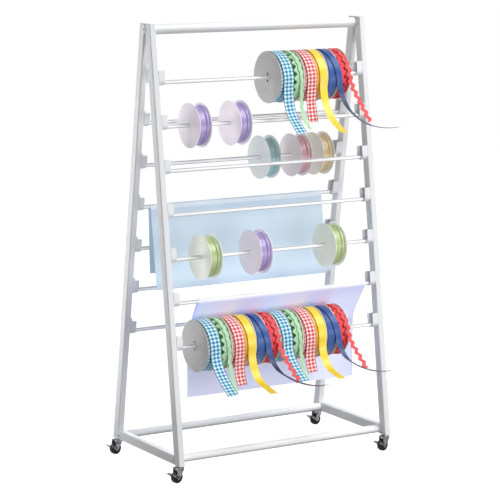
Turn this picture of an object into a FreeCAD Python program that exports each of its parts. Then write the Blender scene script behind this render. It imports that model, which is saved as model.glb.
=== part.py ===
"""Rolling A-frame rack for ribbon: two leaning side frames on swivel casters,
round cross bars, rows of open hooks on the legs, lift-out rods, spools that
spin on the rods, loose ribbon ends and two sheets folded over rods.

Millimetres, +Z up, X along the rods, front of the rack towards -Y, origin on
the floor under the middle. Every node is written to parts/NODE.step.
"""
import FreeCAD, Part
import math
import os

V = FreeCAD.Vector
X_AXIS, Y_AXIS, Z_AXIS = V(1, 0, 0), V(0, 1, 0), V(0, 0, 1)
FRONT, REAR = -1, 1
LEFT, RIGHT = -1, 1
TOUCH = 0.3          # air left between pieces that rest on each other
OVERRUN = 5.0        # how far a cut runs past the metal that it goes through
HALF_TURN = 180.0

# ---- side frames
RACK_WIDTH = 800.0   # over the outer faces of the legs
RACK_HEIGHT = 1410.0  # top ends of the legs
FOOT_SPREAD = 202.0  # leg centre line from the middle, at the foot
TUBE_X = 21.0        # leg and rail tube, across the rack
LEG_DEPTH = 32.0     # leg tube, front to back, along a level cut
TUBE_WALL = 1.5
TUBE_CORNER = 3.0
APEX_GAP = 0.6       # between the two legs of a side, at the top
RAIL_HEIGHT = 30.0
CAP_THICK = 2.5      # plastic end plugs in the tops of the legs
CAP_DEPTH = 12.0
CAP_EASE = 0.1       # plug to the inside of the tube

# ---- round cross bars
TOP_BAR_D = 32.0
TOP_BAR_DROP = 17.0  # bar axis below the leg tops
LOW_BAR_D = 25.4
LOW_BAR_INSET = 27.0  # bar axis from the leg's centre line at the foot
BAR_WALL = 1.5
BAR_PLUG = 18.0      # solid end with the bolt's hole

# ---- bolts
BOLT_D = 5.0
BOLT_REACH = 16.0    # length of thread inside a bar's end plug
BOLT_HEAD_D = 11.0
BOLT_HEAD_H = 3.0
BOLT_CLEARANCE = 0.3
SOCKET_D = 3.6
WASHER_D = 22.0
WASHER_THICK = 1.6

# ---- rows of hooks
ROWS = 7
TOP_ROW_DROP = 161.0  # rods of the top row below the top bar, axis to axis
ROW_PITCH = 136.0
HOOK_WALL = 2.5
HOOK_DEPTH = 31.4    # over both arms, about the depth of a leg
HOOK_REACH = 21.0    # from the leg's inner face towards the middle
HOOK_ARM = 30.0      # straight part of the arms
HOOK_ROUND = 5.0     # free upper corners

# ---- rods
ROD_D = 12.7
ROD_WALL = 1.2
ROD_END_GAP = 1.5    # to the back plate of a hook
MISSING_RODS = [(REAR, 1)]  # the big spools of the top row fill this place

# ---- spools
BORE_D = 14.0
FLANGE_THICK = 2.0
SPOOL_WIDTH = 43.6
SPOOL_GAP = 0.4      # between neighbours of a set
BIG_FLANGE_R = 83.0
BIG_WOUND_R = 82.4
SMALL_FLANGE_R = 71.0
SMALL_WOUND_R = 62.0
KINDS = ["gingham_blue", "ricrac_green", "gingham_red",
         "satin_yellow", "satin_navy", "ricrac_red"]
TOP_SET_INSET = 89.0  # right end of the rod to the right face of the top set
LOW_SET_INSET = 67.0  # left end of the rod to the left face of the bottom set
# narrow spools: outer face from the end of the rod that each is nearer to
R2_PURPLE_A_INSET = 99.0
R2_PURPLE_B_INSET = 246.0
R3_TEAL_INSET = 265.4
R3_PINK_INSET = 144.4
R3_BEIGE_INSET = 58.4
R5_GREEN_A_INSET = 106.0
R5_PURPLE_INSET = 290.0
R5_GREEN_B_INSET = 135.4
SMALL_SPOOLS = [     # name, side, row, nearer end of the rod, inset from it
    ("r2_purple_a", FRONT, 2, LEFT, R2_PURPLE_A_INSET),
    ("r2_purple_b", FRONT, 2, LEFT, R2_PURPLE_B_INSET),
    ("r3_teal", REAR, 3, RIGHT, R3_TEAL_INSET),
    ("r3_pink", REAR, 3, RIGHT, R3_PINK_INSET),
    ("r3_beige", REAR, 3, RIGHT, R3_BEIGE_INSET),
    ("r5_green_a", FRONT, 5, LEFT, R5_GREEN_A_INSET),
    ("r5_purple", FRONT, 5, LEFT, R5_PURPLE_INSET),
    ("r5_green_b", FRONT, 5, RIGHT, R5_GREEN_B_INSET)]

# ---- loose ribbon ends
RIBBON_THICK = 0.5
TAIL_START = 85.0    # degrees above level, where the loose turn begins
RIBBONS = {          # width, sideways slant in degrees
    "gingham_blue": (38.0, 3), "ricrac_green": (16.0, 5), "gingham_red": (36.0, 3),
    "satin_yellow": (28.0, 3), "satin_navy": (24.0, 10), "ricrac_red": (23.0, 8)}
# angle above level where the ribbon leaves the winding, lean from plumb at
# 1/3, 2/3 and the end of the part that hangs free, and its length
TOP_SET_HANG = {
    "gingham_blue": (-10, (6, 46, 48), 180.0),
    "ricrac_green": (-10, (-8, 22, 70), 163.0),
    "gingham_red": (-10, (-10, 8, 12), 130.0),
    "satin_yellow": (-10, (22, 54, 73), 208.0),
    "satin_navy": (-10, (55, 86, 103), 333.0),
    "ricrac_red": (3, (35, 36, 38), 170.0)}
LOW_SET_HANG = {
    "gingham_blue": (-6, (36, 52, 54), 160.0),
    "ricrac_green": (-10, (8, 12, 56), 135.0),
    "gingham_red": (-10, (-10, 10, 28), 112.0),
    "satin_yellow": (-10, (26, 74, 76), 190.0),
    "satin_navy": (-6, (74, 91, 110), 319.0),
    "ricrac_red": (4, (42, 43, 44), 153.0)}
TAIL_SPACE = 0.4     # inside of the loose turn to the flanges
TAIL_ARC_STEP = 8.0  # degrees between sections while it follows the winding
TAIL_BENDS = 8       # sections of the part that hangs free
TOP_STRETCH, LOW_STRETCH_A, LOW_STRETCH_B = 1.0, 1.0, 0.88  # times those lengths

# ---- sheets folded over rods
SHEET_THICK = 1.0
BLUE_SHEET_X = (-330.0, 318.0)
BLUE_FRONT_DROP, BLUE_REAR_DROP = 264.0, 216.0    # below the rod
BLUE_SPLAY = 8.7     # degrees that the stiff front flap stands off plumb
BLUE_TUCK = 2.6      # degrees that the rear flap hangs inwards
LAVENDER_SHEET_X = (-285.0, 345.0)
LAVENDER_FRONT_DROP, LAVENDER_REAR_DROP = 322.0, 259.0
SHEET_SPACE = 0.6    # spool to sheet and flap to flap

# ---- casters
WHEEL_D = 38.0
CASTER_RISE = 15.0   # top of the wheel to the foot of a leg
WHEEL_WIDTH = 16.0
TRAIL = 12.0         # axle behind the swivel axis
TRAIL_TURN = 190.0   # degrees, direction of the trail at rest
AXLE_D = 5.0
AXLE_CLEARANCE = 0.06
FORK_PLATE = 2.0
FORK_GAP = 1.0       # wheel to fork plate
FORK_TOP_THICK = 3.0
FORK_TOP_D = 26.0
FORK_REACH = 18.0    # flat top of the fork, ahead of and behind the pin
FORK_BACK = 8.0
FORK_EYE_R = 7.0     # metal round the axle
SWIVEL_GAP = 0.4
STEM_PLATE_THICK = 2.6
STEM_PLATE_R = 10.4
STEM_PLUG_LENGTH = 22.0
STEM_EASE = 0.6      # plug to the inside of the leg
KING_PIN_D = 8.0
KING_HEAD_D = 13.0   # peened end under the fork
KING_HEAD_THICK = 1.2
PIN_CLEARANCE = 0.05
PEDAL_PLATE = 1.6
PEDAL_GAP = 0.5
PEDAL_REACH = 36.0   # axle to pedal tip, along the trail
PEDAL_EYE_R = 5.7    # metal round the axle
PEDAL_BAR_SPACE = 3.0      # tyre to the bar behind the wheel
PEDAL_BAR_LOW, PEDAL_BAR_HIGH = 9.0, 15.0    # its edges above the axle
PEDAL_BAR_SKEW = 3.0       # lower edge behind the upper one
PEDAL_TAB_WIDTH = 18.0
PEDAL_TAB_THICK = 2.0

# ---- worked out
LEG_FOOT_Z = WHEEL_D + CASTER_RISE
LOW_BAR_Y = FOOT_SPREAD - LOW_BAR_INSET
TOP_ROW_Z = RACK_HEIGHT - TOP_BAR_DROP - TOP_ROW_DROP
BOLT_HOLE_R = BOLT_D / 2 + BOLT_CLEARANCE
SPOOL_PITCH = SPOOL_WIDTH + SPOOL_GAP
INNER_X = RACK_WIDTH / 2 - TUBE_X
APEX_SPREAD = LEG_DEPTH / 2 + APEX_GAP / 2
LEAN = math.atan2(FOOT_SPREAD - APEX_SPREAD, RACK_HEIGHT - LEG_FOOT_Z)
TOP_BAR_Z = RACK_HEIGHT - TOP_BAR_DROP
RAIL_Z = LEG_FOOT_Z + RAIL_HEIGHT / 2
HOOK_R = HOOK_DEPTH / 2
HOOK_BORE_R = HOOK_R - HOOK_WALL
ROD_REST = HOOK_BORE_R - ROD_D / 2 - TOUCH   # rod axis under the hook's centre
ROD_HALF = INNER_X - HOOK_WALL - ROD_END_GAP
HANG = BORE_D / 2 - ROD_D / 2 - TOUCH        # spool axis under the rod axis
TAIL_R = BIG_FLANGE_R + TAIL_SPACE + RIBBON_THICK / 2
SHEET_R = ROD_D / 2 + TOUCH + SHEET_THICK / 2
WHEEL_R = WHEEL_D / 2
TOP_SET_X = ROD_HALF - TOP_SET_INSET - len(KINDS) * SPOOL_PITCH + SPOOL_GAP
LOW_SET_X = LOW_SET_INSET - ROD_HALF


def save(name, shape):
    shape.exportStep("parts/%s.step" % name)


def leg_y(side, z):
    """Y of a leg's centre line at height z."""
    t = (z - LEG_FOOT_Z) / (RACK_HEIGHT - LEG_FOOT_Z)
    return side * (FOOT_SPREAD + (APEX_SPREAD - FOOT_SPREAD) * t)


def row_z(row):
    return TOP_ROW_Z - ROW_PITCH * (row - 1)


def polygon_face(points):
    return Part.Face(Part.makePolygon([V(*p) for p in points] + [V(*points[0])]))


def rounded_rectangle(width, depth, corner, z):
    """A level rounded rectangle about the Z axis, as a wire at height z."""
    face = Part.makeBox(width, depth, 1, V(-width / 2, -depth / 2, z))
    edges = [e for e in face.Edges if abs(e.tangentAt(e.FirstParameter).z) > 0.9]
    solid = face.makeFillet(corner, edges)
    flat = [f for f in solid.Faces if abs(f.CenterOfMass.z - z) < 1e-6]
    return flat[0].OuterWire


def x_cylinder(radius, x0, x1, y, z):
    return Part.makeCylinder(radius, x1 - x0, V(x0, y, z), X_AXIS)


# ---- side frames ---------------------------------------------------------
def leg(side, hand):
    """One leaning rectangular tube, cut level at both ends, with its half of
    the hole for the top bar's bolt, which passes between the two legs."""
    outer = Part.Face(rounded_rectangle(TUBE_X, LEG_DEPTH, TUBE_CORNER, 0))
    inner = Part.Face(rounded_rectangle(TUBE_X - 2 * TUBE_WALL, LEG_DEPTH - 2 * TUBE_WALL,
                                        TUBE_CORNER - TUBE_WALL, 0))
    run = V(0, leg_y(side, RACK_HEIGHT) - leg_y(side, LEG_FOOT_Z), RACK_HEIGHT - LEG_FOOT_Z)
    tube = outer.cut(inner).extrude(run)
    tube.translate(V(hand * (INNER_X + TUBE_X / 2), leg_y(side, LEG_FOOT_Z), LEG_FOOT_Z))
    return tube.cut(x_cylinder(BOLT_HOLE_R, -RACK_WIDTH, RACK_WIDTH, 0, TOP_BAR_Z))


def leg_cap(side, hand):
    """Plastic plug pushed into the top end of a leg, flush with the tube."""
    lip = Part.Face(rounded_rectangle(TUBE_X, LEG_DEPTH, TUBE_CORNER, 0)).extrude(V(0, 0, CAP_THICK))
    shrink = 2 * (TUBE_WALL + CAP_EASE)
    plug = Part.Face(rounded_rectangle(TUBE_X - shrink, LEG_DEPTH - shrink, TUBE_CORNER - TUBE_WALL, 0))
    slant = V(0, leg_y(side, RACK_HEIGHT - CAP_DEPTH) - leg_y(side, RACK_HEIGHT), -CAP_DEPTH)
    cap = lip.fuse(plug.extrude(slant)).removeSplitter()
    cap.translate(V(hand * (INNER_X + TUBE_X / 2), leg_y(side, RACK_HEIGHT), RACK_HEIGHT))
    return cap


def base_rail(hand):
    """Level tube between the feet, mitred to the lean of the legs."""
    def outline(shrink, overrun):
        low, high = LEG_FOOT_Z + shrink, LEG_FOOT_Z + RAIL_HEIGHT - shrink
        y = [leg_y(REAR, z) - LEG_DEPTH / 2 + overrun for z in (low, high)]
        return polygon_face([(0, -y[0], low), (0, y[0], low), (0, y[1], high), (0, -y[1], high)])
    rail = outline(0, 0).extrude(V(TUBE_X, 0, 0))
    long_edges = [e for e in rail.Edges if abs(e.tangentAt(e.FirstParameter).y) > 0.99]
    rail = rail.makeFillet(TUBE_CORNER, long_edges)
    hollow = outline(TUBE_WALL, 5).extrude(V(TUBE_X - 2 * TUBE_WALL, 0, 0))
    hollow.translate(V(TUBE_WALL, 0, 0))
    rail = rail.cut(hollow)
    for side in (FRONT, REAR):
        rail = rail.cut(x_cylinder(BOLT_HOLE_R, -1, TUBE_X + 1, side * LOW_BAR_Y, RAIL_Z))
    rail.translate(V(INNER_X if hand == RIGHT else -INNER_X - TUBE_X, 0, 0))
    return rail


def cross_bar(diameter, y, z):
    """Round tube between the side frames with a drilled plug in each end."""
    bar = x_cylinder(diameter / 2, -INNER_X, INNER_X, y, z)
    bar = bar.cut(x_cylinder(diameter / 2 - BAR_WALL, -INNER_X + BAR_PLUG, INNER_X - BAR_PLUG, y, z))
    return bar.cut(x_cylinder(BOLT_D / 2 + PIN_CLEARANCE, -INNER_X - 1, INNER_X + 1, y, z))


def bolt(hand, y, z, washer):
    """Button-head bolt from the outside of a side frame into a bar's end."""
    out = RACK_WIDTH / 2
    parts = []
    if washer:
        parts.append(x_cylinder(WASHER_D / 2, out, out + WASHER_THICK, y, z))
        out += WASHER_THICK
    shank_end = INNER_X - BOLT_REACH
    parts.append(x_cylinder(BOLT_D / 2, shank_end, out + 1, y, z))
    dome_r = (BOLT_HEAD_D ** 2 / 4 + BOLT_HEAD_H ** 2) / (2 * BOLT_HEAD_H)
    dome = Part.makeSphere(dome_r, V(out + BOLT_HEAD_H - dome_r, y, z))
    head = dome.common(x_cylinder(BOLT_HEAD_D / 2, out, out + BOLT_HEAD_H + 1, y, z))
    socket = x_cylinder(SOCKET_D / 2, out + BOLT_HEAD_H * 0.4, out + BOLT_HEAD_H + 1, y, z)
    parts.append(head.cut(socket))
    whole = parts[0].multiFuse(parts[1:]).removeSplitter()
    return whole if hand == RIGHT else whole.mirror(V(0, 0, 0), X_AXIS)


# ---- hooks ---------------------------------------------------------------
def hook_outline(radius, top):
    """U shape in the YZ plane about the hook's centre, open side up."""
    arms = Part.makePolygon([V(0, radius, 0), V(0, radius, top), V(0, -radius, top), V(0, -radius, 0)])
    bowl = Part.Arc(V(0, -radius, 0), V(0, 0, -radius), V(0, radius, 0)).toShape()
    return Part.Face(Part.Wire(arms.Edges + [bowl]))


def hook():
    """Open cup for a rod's end: back plate, two arms and a round bottom.

    Local frame: back plate on X = 0, reaching to +X, centre of the bowl at
    the origin and the slot opening along +Z."""
    body = hook_outline(HOOK_R, HOOK_ARM).extrude(V(HOOK_REACH, 0, 0))
    slot = hook_outline(HOOK_BORE_R, HOOK_ARM + 10).extrude(V(HOOK_REACH + 1, 0, 0))
    slot.translate(V(HOOK_WALL, 0, 0))
    top = HOOK_ARM - HOOK_ROUND
    corner = Part.Arc(V(HOOK_REACH, 0, top),
                      V(HOOK_REACH - HOOK_ROUND * (1 - math.sqrt(0.5)), 0, HOOK_ARM - HOOK_ROUND * (1 - math.sqrt(0.5))),
                      V(HOOK_REACH - HOOK_ROUND, 0, HOOK_ARM)).toShape()
    side = Part.Wire([
        Part.makeLine(V(0, 0, HOOK_ARM), V(0, 0, -HOOK_R)),
        Part.makeLine(V(0, 0, -HOOK_R), V(HOOK_REACH, 0, -HOOK_R)),
        Part.makeLine(V(HOOK_REACH, 0, -HOOK_R), V(HOOK_REACH, 0, top)), corner,
        Part.makeLine(V(HOOK_REACH - HOOK_ROUND, 0, HOOK_ARM), V(0, 0, HOOK_ARM))])
    profile = Part.Face(side).extrude(V(0, 2 * HOOK_R + 2, 0))
    profile.translate(V(0, -HOOK_R - 1, 0))
    return body.cut(slot).common(profile)


def place_hook(shape, side, hand, row):
    """Turn a hook with its leg's lean and set it on the leg's inner face."""
    placed = shape.copy()
    if hand == RIGHT:
        placed = placed.mirror(V(0, 0, 0), X_AXIS)
    placed.rotate(V(0, 0, 0), X_AXIS, math.degrees(side * LEAN))
    z = row_z(row)
    up = V(0, -side * math.sin(LEAN), math.cos(LEAN))
    placed.translate(V(hand * INNER_X, leg_y(side, z), z) + up * ROD_REST)
    return placed


# ---- rods and spools -----------------------------------------------------
def rod(side, row):
    y, z = leg_y(side, row_z(row)), row_z(row)
    solid = x_cylinder(ROD_D / 2, -ROD_HALF, ROD_HALF, y, z)
    return solid.cut(x_cylinder(ROD_D / 2 - ROD_WALL, -ROD_HALF - 1, ROD_HALF + 1, y, z))


def spool(side, row, x, flange_r, wound_r):
    """Two flanges, the wound ribbon between them and a bore, hung on a rod."""
    bore = BORE_D / 2
    profile = [(0, bore), (0, flange_r), (FLANGE_THICK, flange_r), (FLANGE_THICK, wound_r),
               (SPOOL_WIDTH - FLANGE_THICK, wound_r), (SPOOL_WIDTH - FLANGE_THICK, flange_r),
               (SPOOL_WIDTH, flange_r), (SPOOL_WIDTH, bore)]
    y, z = leg_y(side, row_z(row)), row_z(row) - HANG
    face = polygon_face([(x + a, y, z + r) for a, r in profile])
    return face.revolve(V(0, y, z), X_AXIS, 360)


# ---- loose ribbon ends ---------------------------------------------------
def tail_profile(leave, leans, length):
    """Side view of a loose end: forward reach and height about the spool's
    axis against the length along the ribbon, as a list of (u, out, up, lean).
    It follows the winding, leaves it at a tangent and then bends evenly
    between the given leans."""
    arc = TAIL_R * math.radians(TAIL_START - leave)
    knots = [leave] + list(leans)
    step = 2.0
    margin = 40.0
    u = -margin
    out = TAIL_R * math.cos(math.radians(TAIL_START + math.degrees(margin / TAIL_R)))
    up = TAIL_R * math.sin(math.radians(TAIL_START + math.degrees(margin / TAIL_R)))
    points = []
    while u <= arc + length + margin:
        if u < arc:
            lean = TAIL_START - math.degrees(u / TAIL_R)
        else:
            t = min((u - arc) / length, 1.0) * 3
            k = min(int(t), 2)
            lean = knots[k] + (knots[k + 1] - knots[k]) * (t - k)
        points.append((u, out, up, lean))
        mid = math.radians(lean if u >= arc else lean - math.degrees(step / 2 / TAIL_R))
        out += step * math.sin(mid)
        up -= step * math.cos(mid)
        u += step
    return points, arc


def along(points, u):
    """Point and lean of a profile at length u, between its stations."""
    step = points[1][0] - points[0][0]
    k = min(max(int((u - points[0][0]) / step), 0), len(points) - 2)
    t = (u - points[k][0]) / step
    return [a + (b - a) * t for a, b in zip(points[k], points[k + 1])]


def tail(kind, hang, side, row, x, stretch):
    """Thin strip laid at its slant on the bent profile, as a ruled loft."""
    width, slant = RIBBONS[kind]
    leave, leans, length = hang[kind]
    length *= stretch
    points, arc = tail_profile(leave, leans, length)
    slant = math.radians(slant)
    y0, z0 = leg_y(side, row_z(row)), row_z(row) - HANG
    turns = math.ceil((TAIL_START - leave) / TAIL_ARC_STEP)
    stations = [arc * i / turns for i in range(turns)]
    stations += [arc + length * i / TAIL_BENDS for i in range(TAIL_BENDS + 1)]
    sections = []
    for s in [u / math.cos(slant) for u in stations]:
        lean = math.radians(along(points, s * math.cos(slant))[3])
        half = V(0, side * math.cos(lean), math.sin(lean)) * (RIBBON_THICK / 2)
        edge = []
        for v in (-width / 2, width / 2):
            _, out, up, _ = along(points, s * math.cos(slant) - v * math.sin(slant))
            edge.append(V(x + s * math.sin(slant) + v * math.cos(slant), y0 + side * out, z0 + up))
        corners = [edge[0] - half, edge[1] - half, edge[1] + half, edge[0] + half]
        sections.append(Part.makePolygon(corners + [corners[0]]))
    return Part.makeLoft(sections, True, True)


def tails(row, hang, sets):
    """All loose ends of a row, one solid each."""
    solids = []
    for first_x, stretch in sets:
        for k, kind in enumerate(KINDS):
            middle = first_x + SPOOL_PITCH * k + SPOOL_WIDTH / 2
            solids.append(tail(kind, hang, FRONT, row, middle, stretch))
    return Part.makeCompound(solids)


# ---- sheets --------------------------------------------------------------
def arc_points(y, z, radius, start, end, step=9.0):
    n = max(2, int(abs(end - start) / step) + 1)
    angles = [math.radians(start + (end - start) * i / (n - 1)) for i in range(n)]
    return [(y + radius * math.cos(a), z + radius * math.sin(a)) for a in angles]


def sheet(path, x_range):
    """A thin sheet: its middle line in the YZ plane given a thickness to both
    sides and run across the rack."""
    left, right = [], []
    for i, (y, z) in enumerate(path):
        a, b = path[max(i - 1, 0)], path[min(i + 1, len(path) - 1)]
        dy, dz = b[0] - a[0], b[1] - a[1]
        n = math.hypot(dy, dz)
        ny, nz = -dz / n * SHEET_THICK / 2, dy / n * SHEET_THICK / 2
        left.append((x_range[0], y + ny, z + nz))
        right.append((x_range[0], y - ny, z - nz))
    return polygon_face(left + right[::-1]).extrude(V(x_range[1] - x_range[0], 0, 0))


def blue_sheet():
    """Folded over the rear rod of row 4, both flaps leaning to the front."""
    z = row_z(4)
    y = leg_y(REAR, z)
    over = arc_points(y, z, SHEET_R, HALF_TURN - BLUE_SPLAY, -BLUE_TUCK)
    splay = math.tan(math.radians(BLUE_SPLAY)) * (over[0][1] - z + BLUE_FRONT_DROP)
    tuck = math.tan(math.radians(BLUE_TUCK)) * (over[-1][1] - z + BLUE_REAR_DROP)
    path = [(over[0][0] - splay, z - BLUE_FRONT_DROP)] + over + [(over[-1][0] - tuck, z - BLUE_REAR_DROP)]
    return sheet(path, BLUE_SHEET_X)


def lavender_sheet():
    """Folded over the front rod of row 6; both flaps pass behind the spools
    of the bottom row and hang plumb below them."""
    rod_z, spool_z = row_z(6), row_z(7) - HANG
    rod_y, spool_y = leg_y(FRONT, rod_z), leg_y(FRONT, row_z(7))
    front_r = BIG_FLANGE_R + SHEET_SPACE + SHEET_THICK / 2
    rear_r = front_r + SHEET_THICK + SHEET_SPACE
    dy, dz = rod_y - spool_y, rod_z - spool_z
    apart = math.hypot(dy, dz)
    tip = math.degrees(math.atan2(dy, dz))
    cross = math.degrees(math.asin((front_r + SHEET_R) / apart)) - tip
    outer = math.degrees(math.asin((rear_r - SHEET_R) / apart)) - tip
    path = [(spool_y + front_r, rod_z - LAVENDER_FRONT_DROP)]
    path += arc_points(spool_y, spool_z, front_r, 0, cross)
    path += arc_points(rod_y, rod_z, SHEET_R, HALF_TURN + cross, outer)
    path += arc_points(spool_y, spool_z, rear_r, outer, 0)
    path += [(spool_y + rear_r, rod_z - LAVENDER_REAR_DROP)]
    return sheet(path, LAVENDER_SHEET_X)


# ---- casters -------------------------------------------------------------
# Local frame: swivel axis on Z, floor at Z = 0, trail along +X, axle along Y.
def caster_stem():
    """Fixed half of the swivel: plate under the leg, plug in the leg, and the
    king pin with the peened head that carries the fork."""
    top = LEG_FOOT_Z
    plate = Part.makeCylinder(STEM_PLATE_R, STEM_PLATE_THICK, V(0, 0, top - STEM_PLATE_THICK))
    plug = Part.makeCylinder(TUBE_X / 2 - TUBE_WALL - STEM_EASE, STEM_PLUG_LENGTH, V(0, 0, top))
    head_top = top - STEM_PLATE_THICK - FORK_TOP_THICK - 2 * SWIVEL_GAP
    pin = Part.makeCylinder(KING_PIN_D / 2, top - head_top, V(0, 0, head_top))
    head = Part.makeCylinder(KING_HEAD_D / 2, KING_HEAD_THICK, V(0, 0, head_top - KING_HEAD_THICK))
    return plate.multiFuse([plug, pin, head]).removeSplitter()


def caster_fork():
    """Pressed fork: round top, two side plates and the axle across them."""
    top_z = LEG_FOOT_Z - STEM_PLATE_THICK - SWIVEL_GAP
    under = top_z - FORK_TOP_THICK
    half = WHEEL_WIDTH / 2 + FORK_GAP + FORK_PLATE
    top = Part.makeCylinder(FORK_TOP_D / 2, FORK_TOP_THICK, V(0, 0, under))
    bridge = Part.makeBox(FORK_BACK + FORK_REACH, 2 * half, FORK_TOP_THICK, V(-FORK_BACK, -half, under))
    front, back, eye = V(TRAIL + FORK_EYE_R, 0, WHEEL_R), V(TRAIL - FORK_EYE_R, 0, WHEEL_R), V(TRAIL, 0, WHEEL_R - FORK_EYE_R)
    side = Part.Face(Part.Wire([
        Part.makeLine(V(-FORK_BACK, 0, under), V(FORK_REACH, 0, under)),
        Part.makeLine(V(FORK_REACH, 0, under), front),
        Part.Arc(front, eye, back).toShape(),
        Part.makeLine(back, V(-FORK_BACK, 0, under - 2 * FORK_TOP_THICK)),
        Part.makeLine(V(-FORK_BACK, 0, under - 2 * FORK_TOP_THICK), V(-FORK_BACK, 0, under))])).extrude(V(0, FORK_PLATE, 0))
    near, far = side.copy(), side.copy()
    near.translate(V(0, -half, 0))
    far.translate(V(0, half - FORK_PLATE, 0))
    reach = half + PEDAL_GAP + PEDAL_PLATE + 1.2
    axle = Part.makeCylinder(AXLE_D / 2, 2 * reach, V(TRAIL, -reach, WHEEL_R), Y_AXIS)
    fork = top.multiFuse([bridge, near, far, axle]).removeSplitter()
    return fork.cut(Part.makeCylinder(KING_PIN_D / 2 + PIN_CLEARANCE, FORK_TOP_THICK + 2 * OVERRUN,
                                      V(0, 0, under - OVERRUN)))


def caster_wheel():
    """Solid tyre on a dished hub, bored for the axle."""
    r, h, bore = WHEEL_R, WHEEL_WIDTH / 2, AXLE_D / 2 + AXLE_CLEARANCE
    half = [(bore, h), (r * 0.36, h), (r * 0.44, h - 2.5), (r * 0.74, h - 2.5), (r * 0.8, h),
            (r - 2, h), (r, h - 3)]
    points = half + [(a, -b) for a, b in reversed(half)]
    face = polygon_face([(TRAIL + a, b, WHEEL_R) for a, b in points])
    return face.revolve(V(TRAIL, 0, WHEEL_R), Y_AXIS, 360)


def caster_pedal():
    """Brake pedal: two arms on the axle outside the fork, joined behind the
    wheel by a bar that carries the foot tab."""
    inside = WHEEL_WIDTH / 2 + FORK_GAP + FORK_PLATE + PEDAL_GAP
    bar_x, low_x = WHEEL_R + PEDAL_BAR_SPACE, WHEEL_R + PEDAL_BAR_SPACE + PEDAL_BAR_SKEW
    low, high = PEDAL_BAR_LOW, PEDAL_BAR_HIGH
    under = V(PEDAL_EYE_R * 0.79, 0, -PEDAL_EYE_R * 0.61)
    over = V(PEDAL_EYE_R * 0.18, 0, PEDAL_EYE_R * 0.98)
    arm = Part.Face(Part.Wire([
        Part.Arc(under, V(-PEDAL_EYE_R, 0, 0), over).toShape(),
        Part.makeLine(over, V(bar_x, 0, high)),
        Part.makeLine(V(bar_x, 0, high), V(low_x, 0, low)),
        Part.makeLine(V(low_x, 0, low), under)])).extrude(V(0, PEDAL_PLATE, 0))
    near, far = arm.copy(), arm.copy()
    near.translate(V(0, -inside - PEDAL_PLATE, 0))
    far.translate(V(0, inside, 0))
    bar = polygon_face([(bar_x, 0, high), (low_x, 0, low), (low_x + PEDAL_PLATE * 0.94, 0, low + PEDAL_PLATE / 2),
                        (bar_x + PEDAL_PLATE * 1.25, 0, high + PEDAL_PLATE * 0.375)])
    bar = bar.extrude(V(0, 2 * inside + 2 * PEDAL_PLATE, 0))
    bar.translate(V(0, -inside - PEDAL_PLATE, 0))
    root, tip, top = bar_x + PEDAL_TAB_THICK / 2, PEDAL_REACH, high - PEDAL_TAB_THICK * 0.2
    tab = polygon_face([(root, 0, top - PEDAL_TAB_THICK / 2), (tip - 2 * PEDAL_TAB_THICK, 0, top - PEDAL_TAB_THICK),
                        (tip, 0, top), (tip, 0, top + PEDAL_TAB_THICK), (tip - 2.25 * PEDAL_TAB_THICK, 0, top),
                        (root, 0, top + PEDAL_TAB_THICK / 2)])
    tab = tab.extrude(V(0, PEDAL_TAB_WIDTH, 0))
    tab.translate(V(0, -PEDAL_TAB_WIDTH / 2, 0))
    pedal = near.multiFuse([far, bar, tab]).removeSplitter()
    reach = inside + PEDAL_PLATE + OVERRUN
    eye = Part.makeCylinder(AXLE_D / 2 + AXLE_CLEARANCE, 2 * reach, V(0, -reach, 0), Y_AXIS)
    pedal = pedal.cut(eye)
    pedal.translate(V(TRAIL, 0, WHEEL_R))
    return pedal


def place_caster(shape, side, hand):
    placed = shape.copy()
    placed.rotate(V(0, 0, 0), Z_AXIS, TRAIL_TURN)
    placed.translate(V(hand * (INNER_X + TUBE_X / 2), side * FOOT_SPREAD, 0))
    return placed


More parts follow.
